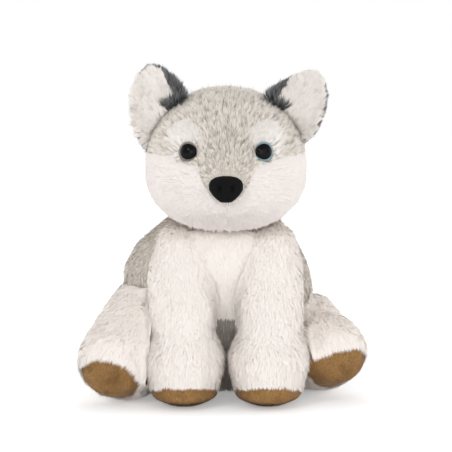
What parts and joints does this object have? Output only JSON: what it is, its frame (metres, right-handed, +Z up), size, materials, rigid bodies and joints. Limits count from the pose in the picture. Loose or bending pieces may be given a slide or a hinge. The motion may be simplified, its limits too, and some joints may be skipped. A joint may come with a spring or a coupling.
{
  "type": "plush dog",
  "caption": "Seated plush dog: white and grey pile panels over stuffed cores, pricked ears, domed eyes, a flocked nose and brown velvet soles.",
  "frame": {"origin": "centre of the flat seat, on the surface that the dog sits on", "axes": "+Z up; the dog faces -Y; its own left side is at +X"},
  "size_m": [0.2428, 0.2349, 0.2804],
  "materials": {
    "white_pile": "long brushed pile, matt, warm white",
    "grey_pile": "long clumped pile, matt, warm grey with darker streaks",
    "dark_pile": "long pile, matt, slate with pale tips",
    "brown_velvet": "short brushed velvet",
    "stuffing": "loose polyester fibre",
    "eye_gloss": "polished black with a clouded ring",
    "nose_flock": "black flock",
    "nylon": "natural nylon"
  },
  "bodies": {
    "root": {"back_panel": "grey_pile", "chest_panel": "white_pile", "body_stuffing": "stuffing", "head_crown_panel": "grey_pile", "left_cheek_panel": "white_pile", "right_cheek_panel": "white_pile", "left_brow_patch": "white_pile", "right_brow_patch": "white_pile", "head_stuffing": "stuffing", "left_ear_back": "dark_pile", "right_ear_back": "dark_pile", "left_ear_lining": "white_pile", "right_ear_lining": "white_pile", "left_eye": "eye_gloss", "right_eye": "eye_gloss", "left_eye_washer": "nylon", "right_eye_washer": "nylon", "nose": "nose_flock", "nose_washer": "nylon", "left_front_leg": "white_pile", "right_front_leg": "white_pile", "left_front_sole": "brown_velvet", "right_front_sole": "brown_velvet", "left_front_leg_stuffing": "stuffing", "right_front_leg_stuffing": "stuffing", "left_hind_leg": "white_pile", "right_hind_leg": "white_pile", "left_hind_sole": "brown_velvet", "right_hind_sole": "brown_velvet", "left_hind_leg_stuffing": "stuffing", "right_hind_leg_stuffing": "stuffing", "tail": "grey_pile", "tail_stuffing": "stuffing"}
  },
  "joints": []
}
